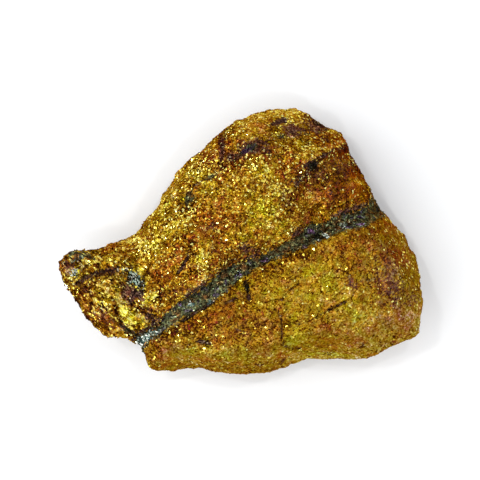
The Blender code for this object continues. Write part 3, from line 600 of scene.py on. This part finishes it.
# %% Press the relief into the skin
CHIP_SIZE, CHIP_DEPTH = 1.9, 0.3
SMALL_CHIP_SIZE, SMALL_CHIP_DEPTH = 0.8, 0.16
CRACK_DEPTH = 0.35
GRAIN_DEPTH = 0.13
SEAM_ROUGHNESS = 0.125
RELIEF_MIDDLE = 0.22  # relief deeper than this goes inwards, and shallower relief stands proud
BLOCK_COARSENESS, SIDE_COARSENESS = (0.45, 1.0), 0.6
CHIP_REACH = 0.75  # from a chip's middle to its ridge, as a share of the chip's size
RIDGE_WAVER = 0.3
CRACKS_LEAN = 0.3  # cracks only where the surface faces up more than this


def chips(points, size):
    """0 on the ridges between shell-like chips of that size, and 1 in the middle of a chip."""
    found = [noise.voronoi(Vector(p))[0][0] for p in points / size]
    return np.clip(1.0 - (np.array(found) / CHIP_REACH) ** 2, 0, 1)


draw = np.random.default_rng(11)
coarseness = by_block(BLOCK_COARSENESS, upper) + SIDE_COARSENESS * side * (1.0 - upper)
depth = CHIP_DEPTH * coarseness * chips(start_points + RIDGE_WAVER * fray[:, None], CHIP_SIZE)
depth += SMALL_CHIP_DEPTH * coarseness * chips(start_points, SMALL_CHIP_SIZE)
depth += GRAIN_DEPTH * coarseness * draw.random(len(plan))
depth -= RELIEF_MIDDLE
depth += CRACK_DEPTH * cracks * (upness > CRACKS_LEAN)
depth += SEAM_ROUGHNESS * seam * (1.0 + fray)
low, high = (np.array(corner) / MM for corner in solid_box)
shaped = np.clip(start_points - normals * depth[:, None], low, high)
stone.data.vertices.foreach_set("co", (shaped * MM).astype(np.float32).ravel())
stone.data.update()
stone.data.shade_flat()
print(f"the relief is up to {depth.max():.2f} mm deep")

# %% Store the drawn marks on the skin
MARKS = dict(
    seam=seam, violet=violet, maroon=maroon, teal=teal, indigo=indigo, warmth=warmth, dust=dust,
    tone=tone, contrast=contrast, glints=glints, clumps=clumps, sparkle=sparkle, upper=upper,
    horn=horn,
)


def store(thing, name, values):
    """One number at each point, which the finish can read by name."""
    layer = thing.data.attributes.new(name, "FLOAT", "POINT")
    layer.data.foreach_set("value", values.astype(np.float32))


for name, values in MARKS.items():
    store(stone, name, values)
print("the skin carries", ", ".join(MARKS))

# %% [markdown]
# ## Node trees as plain expressions
#
# A finish like this takes dozens of Math nodes. Wrapping a socket in a small class lets an
# expression such as `0.5 + 0.3 * grain` add them, so the recipe can be read as a formula. Shaders
# and Geometry Nodes share their Math node, so one pair of classes serves both.

# %% Wrap a socket, so that signs work on it
def sign(operation, swap=False):
    """The method behind one of Python's signs. Swapped, the other value comes first."""

    def calculate(self, other):
        return self.maths(operation, *((other, self) if swap else (self, other)))

    return calculate


class Value:
    """One output socket of a node, which Python's signs can add to, multiply and so on."""

    def __init__(self, recipe, socket):
        self.recipe = recipe
        self.socket = socket

    def maths(self, operation, *values, clamp=False):
        settings = {"operation": operation, "use_clamp": clamp}
        return self.recipe.node("ShaderNodeMath", settings, dict(enumerate(values)))

    __add__ = __radd__ = sign("ADD")
    __mul__ = __rmul__ = sign("MULTIPLY")
    __sub__ = sign("SUBTRACT")
    __rsub__ = sign("SUBTRACT", swap=True)
    __rtruediv__ = sign("DIVIDE", swap=True)
    __gt__ = sign("GREATER_THAN")

    def clamped(self):
        return self.maths("ADD", self, 0.0, clamp=True)

    def output(self, index):
        """Another output of the same node."""
        return Value(self.recipe, self.socket.node.outputs[index])


# %% Wrap a node tree, and a material
class Recipe:
    """A node tree, and the one method that adds any node to it."""

    def __init__(self, tree):
        self.tree = tree

    def node(self, kind, settings=None, inputs=None, output=0):
        made = self.tree.nodes.new(kind)
        for name, value in (settings or {}).items():
            if name == "stops":
                self._set_stops(made.color_ramp, value)
            else:
                setattr(made, name, value)
        for name, value in (inputs or {}).items():
            self.join(value, made.inputs[name])
        return Value(self, made.outputs[output]) if made.outputs else None

    def join(self, value, socket):
        if isinstance(value, Value):
            self.tree.links.new(value.socket, socket)
        else:
            socket.default_value = value

    def vector(self, operation, *values, **named):
        inputs = {**dict(enumerate(values)), **named}
        return self.node("ShaderNodeVectorMath", {"operation": operation}, inputs)

    def _set_stops(self, ramp, stops):
        while len(ramp.elements) < len(stops):
            ramp.elements.new(0.5)
        for element, (place, *colour) in zip(ramp.elements, stops):
            element.position = place
            element.color = (*colour, 1.0)


class Finish(Recipe):
    """A material's recipe."""

    def __init__(self, name):
        self.material = bpy.data.materials.new(name)
        self.material.use_nodes = True
        super().__init__(self.material.node_tree)
        self.shader = self.tree.nodes["Principled BSDF"]

    def set(self, name, value):
        self.join(value, self.shader.inputs[name])

    def mark(self, name):
        return self.node("ShaderNodeAttribute", {"attribute_name": name}, output=2)

    def ramp(self, value, stops):
        return self.node("ShaderNodeValToRGB", {"stops": stops}, {0: value})

    def mix(self, share, first, second, blend="MIX"):
        """A colour between two others."""
        inputs = {0: share}
        for index, colour in ((6, first), (7, second)):
            inputs[index] = (*colour, 1.0) if isinstance(colour, tuple) else colour
        settings = {"data_type": "RGBA", "blend_type": blend}
        return self.node("ShaderNodeMix", settings, inputs, output=2)


# %% [markdown]
# ## The finish of the ore
#
# Each grain of the real stone is a small metal mirror with its own tilt and its own film of
# tarnish. So every grain draws three random numbers. One picks its tarnish from a ramp, from dark
# brown through gold to pale brass, and all three tilt its normal, so that it catches the light or
# misses it. On the skin a Voronoi pattern gives these numbers, one set for each cell of grain size.
# The crystals that come later bring their own.
#
# The drawn marks change whole grains: a grain takes the tarnish of its place if its draw is low
# enough. Smaller specks break up the edges of the grains.

# %% Mix the colours, from dark to light
# Each stop is its place on the ramp, red, green and blue.
GOLD_STOPS = [
    (0, 0.016, 0.003, 0.001), (0.14, 0.07, 0.018, 0.002), (0.32, 0.19, 0.066, 0.004),
    (0.52, 0.35, 0.17, 0.005), (0.72, 0.54, 0.325, 0.016), (0.88, 0.8, 0.58, 0.055),
    (1, 0.95, 0.83, 0.21),
]
MUSTARD_STOPS = [
    (0, 0.026, 0.005, 0.001), (0.15, 0.095, 0.03, 0.001), (0.35, 0.24, 0.109, 0.004),
    (0.55, 0.34, 0.198, 0.011), (0.75, 0.45, 0.29, 0.04), (0.92, 0.62, 0.46, 0.12),
    (1, 0.85, 0.72, 0.28),
]
# A glinting grain's pale colour, brighter than the ore's own: partly a painted glint.
GLINT_STOPS = [(0, 1, 0.74, 0.08), (0.6, 1, 0.85, 0.15), (1, 1, 0.94, 0.34)]
SEAM_STOPS = [
    (0, 0.008, 0.006, 0.005), (0.25, 0.029, 0.021, 0.016), (0.5, 0.07, 0.052, 0.037),
    (0.72, 0.136, 0.108, 0.068), (0.92, 0.3, 0.26, 0.17), (1, 0.8, 0.78, 0.62),
]
SEAM_TINTS = [
    (0, 1, 0.58, 1.6), (0.13, 0.74, 0.74, 1.7), (0.28, 0.84, 1, 0.92), (0.46, 0.78, 1.18, 0.76),
    (0.64, 1.02, 1.1, 0.66), (1, 1.6, 0.92, 0.4),
]
WARM_TINT = (1.02, 0.58, 0.95)
COOL_TINT = (0.84, 1.15, 0.5)
CRIMSON = (0.17, 0.012, 0.016)
VIOLET_STOPS = [
    (0, 0.024, 0.007, 0.008), (0.4, 0.055, 0.023, 0.021), (0.7, 0.1, 0.052, 0.038),
    (0.93, 0.15, 0.085, 0.045), (1, 0.5, 0.42, 0.25),
]
MAROON_STOPS = [
    (0, 0.028, 0.006, 0.005), (0.35, 0.09, 0.026, 0.017), (0.6, 0.17, 0.067, 0.036),
    (0.8, 0.27, 0.13, 0.075), (1, 0.6, 0.4, 0.22),
]
# Its top is nearly white: painted glints.
TEAL_STOPS = [
    (0, 0.012, 0.02, 0.02), (0.42, 0.06, 0.1, 0.085), (0.66, 0.33, 0.45, 0.36),
    (0.8, 0.95, 1, 0.88),
]
DUSTY_TINT = (0.97, 0.97, 2.6)
EDGE_TINT = (0.55, 0.36, 0.1, 1.0)
print("the grains go from", SEAM_STOPS[0][1:], "to", GOLD_STOPS[-1][1:])

# %% Build the ore's finish
GRAIN_SIZE, SPECK_SIZE, CLUMP_SIZE = 0.28 * MM, 0.18 * MM, 0.95 * MM
HUE_SIZE = 1.2 * MM  # from warm to cool ground
SPECKLE_SHARPNESS, SPECKLE_REACH = 5.0, 0.8
# How much of each draw comes from the grain, then from its specks
MAROON_DRAW, VIOLET_DRAW, SEAM_DRAW, SLATE_DRAW = (0.5, 0.5), (0.6, 0.4), (0.1, 0.8), (0.65, 0.35)
# How much the grains, and the specks in them, differ on the lower and the upper block
GRAIN_SPREAD, SPECK_SPREAD = (0.5, 0.58), (0.46, 0.36)
HUE_DRIFT, CLUMP_HUE, LOWER_COOLER, DUST_DRIFT = 2.6, 0.2, 0.1, 4.0
CRIMSON_FROM, CRIMSON_WARMTH, CRIMSON_SHARE = 0.94, 0.2, 0.6  # a few grains on warm ground
GLINT_CLUMPING = 0.5
VIOLET_DARKER, INDIGO_LIGHTER = 0.45, 0.12
SEAM_HUE, SEAM_HUE_DRIFT, SEAM_GRAIN_HUE, SEAM_INDIGO_HUE = 0.59, 2.2, 0.3, 0.6
METALLIC = 0.99
ROUGHEST, SMOOTHER_GRAINS, SMOOTHER_GLINTS = 0.46, 0.1, 0.21
SKIN_TILT, FLAKE_TILT = 1.1, 0.7  # how far the grains' faces turn from the surface
GLINT_LEVEL = 0.7  # how far a glinting grain turns level
FLAKE_TURN, FLAKE_STRETCH = -0.7, (1.9, 0.95, 0.95)  # the horn's grains are long flakes


def thirds(finish, colour):
    """A colour's three numbers, apart."""
    red = finish.node("ShaderNodeSeparateColor", {}, {0: colour})
    return red, red.output(1), red.output(2)


def cells(finish, place, size):
    """A random colour for each Voronoi cell of that size."""
    inputs = {"Vector": place, "Scale": 1.0 / size}
    return finish.node("ShaderNodeTexVoronoi", {}, inputs, output=1)


def mixed(parts, grain, speck):
    """One draw made from a grain's and from its specks'."""
    return parts[0] * grain + parts[1] * speck


def speckled(share, draw):
    """Whole grains instead of an even mixture: a higher share takes more grains."""
    return (SPECKLE_SHARPNESS * (share - SPECKLE_REACH * draw)).clamped()


def ore_finish(name, draws, tilt):
    """The ore, with three random numbers for each grain, which draws(finish, place) gives."""
    finish = Finish(name)
    plain = finish.node("ShaderNodeTexCoord", output=3)
    along = {"Vector": plain, "Rotation": (0.0, 0.0, FLAKE_TURN), "Scale": FLAKE_STRETCH}
    flaky = finish.node("ShaderNodeMapping", {"vector_type": "TEXTURE"}, along)
    either = {0: finish.mark("horn") > 0.5, 4: plain, 5: flaky}
    place = finish.node("ShaderNodeMix", {"data_type": "VECTOR"}, either, output=1)
    grain = draws(finish, place)
    first, second, third = thirds(finish, grain)
    speck, speck_two, _ = thirds(finish, cells(finish, place, SPECK_SIZE))
    clump, clump_two, _ = thirds(finish, cells(finish, plain, CLUMP_SIZE))
    upper, clumps, glints = (finish.mark(name) for name in ("upper", "clumps", "glints"))

    place_drift = {"Vector": plain, "Scale": 1.0 / HUE_SIZE, "Detail": 2.0}
    hue, dust, _ = thirds(finish, finish.node("ShaderNodeTexNoise", {}, place_drift, output=1))

    spread = by_block(GRAIN_SPREAD, upper) * (first - 0.5)
    spread = spread + by_block(SPECK_SPREAD, upper) * (speck - 0.5)
    lightness = 0.5 + finish.mark("tone") + finish.mark("contrast") * spread
    lightness = lightness + clumps * (clump - 0.5)
    colour = finish.mix(
        upper, finish.ramp(lightness, MUSTARD_STOPS), finish.ramp(lightness, GOLD_STOPS)
    )
    warmth = finish.mark("warmth") + HUE_DRIFT * (hue - 0.5) + LOWER_COOLER * (upper - 1.0)
    warmth = warmth + CLUMP_HUE * (clump_two - 0.5)
    colour = finish.mix(warmth.clamped(), colour, WARM_TINT, "MULTIPLY")
    colour = finish.mix((0.0 - warmth).clamped(), colour, COOL_TINT, "MULTIPLY")
    dustiness = (finish.mark("dust") + DUST_DRIFT * (dust - 0.5)).clamped()
    colour = finish.mix(dustiness, colour, DUSTY_TINT, "MULTIPLY")
    crimson = (third > CRIMSON_FROM) * (warmth > CRIMSON_WARMTH) * CRIMSON_SHARE
    colour = finish.mix(crimson, colour, CRIMSON)
    # Painted glints: these grains take the pale glint colour, as well as a smoother, level face.
    glint = first > 1.0 - glints - GLINT_CLUMPING * clumps * (clump - 0.5)
    colour = finish.mix(glint, colour, finish.ramp(third, GLINT_STOPS))
    maroon = speckled(finish.mark("maroon"), mixed(MAROON_DRAW, second, speck_two))
    colour = finish.mix(maroon, colour, finish.ramp(lightness, MAROON_STOPS))
    violet, indigo = finish.mark("violet"), finish.mark("indigo")
    tarnished = speckled(violet, mixed(VIOLET_DRAW, third, speck_two))
    colour = finish.mix(tarnished, colour, finish.ramp(first, VIOLET_STOPS))
    slate = mixed(SLATE_DRAW, first, speck)
    slate = slate - VIOLET_DARKER * violet + INDIGO_LIGHTER * indigo
    tint = SEAM_HUE + SEAM_HUE_DRIFT * (hue - 0.5) + SEAM_GRAIN_HUE * (second - 0.5)
    tint = finish.ramp(tint - SEAM_INDIGO_HUE * indigo, SEAM_TINTS)
    slate = finish.mix(1.0, finish.ramp(slate, SEAM_STOPS), tint, "MULTIPLY")
    seam = speckled(finish.mark("seam"), mixed(SEAM_DRAW, third, speck_two))
    colour = finish.mix(seam, colour, slate)
    teal = speckled(finish.mark("teal"), second)
    colour = finish.mix(teal, colour, finish.ramp(first, TEAL_STOPS))
    finish.set("Base Color", colour)
    finish.set("Metallic", METALLIC)
    finish.set("Specular Tint", EDGE_TINT)
    finish.set("Roughness", ROUGHEST - SMOOTHER_GRAINS * third - SMOOTHER_GLINTS * glint)
    facing = finish.node("ShaderNodeNewGeometry", output=1)
    turned = finish.vector("SUBTRACT", grain, (0.5, 0.5, 0.5))
    turned = finish.vector("SCALE", turned, Scale=tilt * finish.mark("sparkle"))
    level = finish.vector("SCALE", (0.0, 0.0, 1.0), Scale=GLINT_LEVEL * glint)
    turned = finish.vector("ADD", turned, level)
    finish.set("Normal", finish.vector("NORMALIZE", finish.vector("ADD", facing, turned)))
    return finish.material


def skin_draws(finish, place):
    """The random colour of each grain-sized Voronoi cell."""
    return cells(finish, place, GRAIN_SIZE)


stone.data.materials.clear()
stone.data.materials.append(ore_finish("chalcopyrite", skin_draws, SKIN_TILT))
print("the ore's finish has", len(stone.data.materials[0].node_tree.nodes), "nodes")

# %% [markdown]
# ## Crystals
#
# Chalcopyrite grows in small wedge-shaped crystals, like a tetrahedron with one corner cut off.
# Where the stone broke, thousands of them stick out a little. Geometry Nodes strews points over the
# skin, puts one small wedge on each, gives it three random numbers and turns it its own way. The
# crystals take the drawn marks from the skin where they stand, so their colour fits the ground.

# %% Build the tree that grows a crust
CRUST_INPUTS = ["Spacing", "Smallest", "Largest", "Sink"]
WEDGE = {"Vertices": 3, "Radius Top": 0.35, "Radius Bottom": 1.0, "Depth": 1.5}
WEDGE_MIDDLE = 0.55  # the height of the wedge's middle
CROWDING = 3.0  # points tried for each one that stays
FULL_TURNS = (6.28, 6.28, 6.28)


def crust_tree(name, seed, material):
    """Crystals on the surface where its mark `allowed` is above 0."""
    tree = bpy.data.node_groups.new(name, "GeometryNodeTree")
    tree.is_modifier = True
    tree.interface.new_socket("Surface", in_out="INPUT", socket_type="NodeSocketGeometry")
    for label in CRUST_INPUTS:
        tree.interface.new_socket(label, in_out="INPUT", socket_type="NodeSocketFloat")
    tree.interface.new_socket("Crust", in_out="OUTPUT", socket_type="NodeSocketGeometry")
    recipe = Recipe(tree)
    surface = recipe.node("NodeGroupInput")
    spacing, smallest, largest, sink = (surface.output(1 + index) for index in range(4))

    def draw(least, most, more):
        inputs = {0: least, 1: most, "Seed": seed + more}
        return recipe.node("FunctionNodeRandomValue", {"data_type": "FLOAT_VECTOR"}, inputs)

    def cube(side):
        return recipe.node("ShaderNodeCombineXYZ", {}, {0: side, 1: side, 2: side})

    allowed = recipe.node("GeometryNodeInputNamedAttribute", {}, {"Name": "allowed"})
    strewn = {
        "Mesh": surface, "Distance Min": spacing, "Density Max": CROWDING / (spacing * spacing),
        "Density Factor": allowed, "Seed": seed,
    }
    spaced = {"distribute_method": "POISSON"}
    points = recipe.node("GeometryNodeDistributePointsOnFaces", spaced, strewn)
    inwards = recipe.vector("SCALE", points.output(1), Scale=0.0 - sink)
    sunk = recipe.node("GeometryNodeSetPosition", {}, {"Geometry": points, "Offset": inwards})
    numbers = {"Geometry": sunk, "Name": "draw", "Value": draw((0, 0, 0), (1, 1, 1), 0)}
    on_points = {"data_type": "FLOAT_VECTOR", "domain": "POINT"}
    drawn = recipe.node("GeometryNodeStoreNamedAttribute", on_points, numbers)
    wedge = recipe.node("GeometryNodeMeshCone", {"fill_type": "NGON"}, WEDGE)
    lowered = {"Geometry": wedge, "Translation": (0.0, 0.0, -WEDGE_MIDDLE)}
    centred = recipe.node("GeometryNodeTransform", {}, lowered)
    turn = draw((0, 0, 0), FULL_TURNS, 1)
    size = draw(cube(smallest), cube(largest), 2)
    planted = {"Points": drawn, "Instance": centred, "Rotation": turn, "Scale": size}
    crystals = recipe.node("GeometryNodeInstanceOnPoints", {}, planted)
    plain = recipe.node("GeometryNodeRealizeInstances", {}, {"Geometry": crystals})
    finished = recipe.node("GeometryNodeSetMaterial", {}, {"Geometry": plain, "Material": material})
    recipe.node("NodeGroupOutput", {}, {0: finished})
    return tree


# %% [markdown]
# ## Four crusts
#
# The upper block has a close crust of fine crystals, and the lower one only scattered grains. Those
# of the seam are larger, and the horn's look like long flakes. Each crust is an object of its own,
# so that its spacing and sizes can be changed alone.

# %% Grow the crusts
def crystal_draws(finish, place):
    """The three random numbers that each crystal carries."""
    return finish.node("ShaderNodeAttribute", {"attribute_name": "draw"}, output=0)


def grow(name, allowed, spacing, smallest, largest, sink, seed, material):
    """A new crust on the skin, where allowed is above 0. Sizes are in millimetres."""
    store(stone, "allowed", np.clip(allowed, 0, 1))
    crust = add_object(name, stone.data)
    grower = crust.modifiers.new("crust", "NODES")
    grower.node_group = crust_tree(name, seed, material)
    ports = grower.node_group.interface.items_tree
    for label, value in zip(CRUST_INPUTS, (spacing, smallest, largest, sink)):
        grower[ports[label].identifier] = value * MM
    keep_modified(crust)
    crust.data.shade_flat()
    stone.data.attributes.remove(stone.data.attributes["allowed"])
    print(name, "has", len(crust.data.polygons), "faces")
    return crust


CRUSTS = {  # spacing, smallest, largest and sink in millimetres, and the seed
    "upper_crust": (0.31, 0.09, 0.23, 0.06, 21),
    "lower_grains": (0.6, 0.08, 0.18, 0.06, 31),
    "seam_crystals": (0.42, 0.12, 0.3, 0.06, 41),
    "horn_flakes": (0.85, 0.3, 0.6, 0.16, 51),
}
CLEAR_OF_BASE, CLEAR_OF_BOX = 0.9, 0.3  # kept clear of crystals
OVER_EDGE = 0.35  # how far down the sides the crystals go
SEAM_THINNER, LOWER_SHARE = 0.7, 0.6

room = np.min(np.minimum(shaped - low, high - shaped)[:, :2], axis=1)
free = (start_points[:, 2] > CLEAR_OF_BASE) * (high[2] - shaped[:, 2] > CLEAR_OF_BOX)
free = free * (room > CLEAR_OF_BOX)
on_top = np.clip(OVER_EDGE + upness, 0, 1)
grounds = {
    "upper_crust": free * upper * (1.0 - SEAM_THINNER * seam) * on_top,
    "lower_grains": free * (1.0 - upper) * on_top * LOWER_SHARE,
    "seam_crystals": free * seam * on_top,
    "horn_flakes": free * horn * (1.0 - seam) * on_top,
}
finishes = dict.fromkeys(CRUSTS, ore_finish("chalcopyrite crystals", crystal_draws, tilt=0.0))
finishes["horn_flakes"] = ore_finish("chalcopyrite flakes", skin_draws, FLAKE_TILT)
crusts = [grow(name, grounds[name], *CRUSTS[name], finishes[name]) for name in CRUSTS]

# %% Say how the pieces belong to the solid
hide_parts(NODE)
for piece in [stone, *crusts]:
    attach(piece, "root")
print("the skin stands for", NODE)

# %% [markdown]
# ## The table and the light
#
# A metal shows what it mirrors. Under an even white sky each grain would be equally bright and the
# stone would look like plastic. So the sky is grey, one wide panel to the lower left makes the
# slopes that face it brighter, and three small lamps nearly overhead make the glints. They are too
# weak to cast shadows of their own.

# %% Lay the table and hang the lights
TABLE_SIZE = 3.0
TABLE_WHITE = (0.905, 0.91, 0.915, 1.0)
SKY = (0.8, 0.81, 0.825, 1.0)
LIGHTS = [  # name, place and side in metres, watts
    ("wide panel", (-0.5, -0.1, 0.5), 0.9, 3.7),
    ("glint lamp left", (-0.2, 0.1, 0.8), 0.05, 0.6),
    ("glint lamp right", (0.13, 0.17, 0.84), 0.05, 0.6),
    ("glint lamp near", (0.06, -0.26, 0.8), 0.05, 0.6),
]


def lay_table():
    bpy.ops.mesh.primitive_plane_add(size=TABLE_SIZE)
    top = bpy.context.object
    top.name = "table"
    finish = Finish("white table")
    finish.set("Base Color", TABLE_WHITE)
    finish.set("Roughness", 0.9)
    top.data.materials.append(finish.material)


def hang(name, place, side, watts):
    """A square light that faces the stone."""
    data = bpy.data.lights.new(name, "AREA")
    data.size = side
    data.energy = watts
    light = add_object(name, data)
    light.location = place
    light.rotation_euler = (-Vector(place)).to_track_quat("-Z", "Y").to_euler()


lay_table()
for light in LIGHTS:
    hang(*light)
world = bpy.data.worlds.new("sky")
world.use_nodes = True
world.node_tree.nodes["Background"].inputs["Color"].default_value = SKY
bpy.context.scene.world = world
bpy.context.scene.view_settings.view_transform = "Standard"
print(len(LIGHTS), "lights hang over the table")
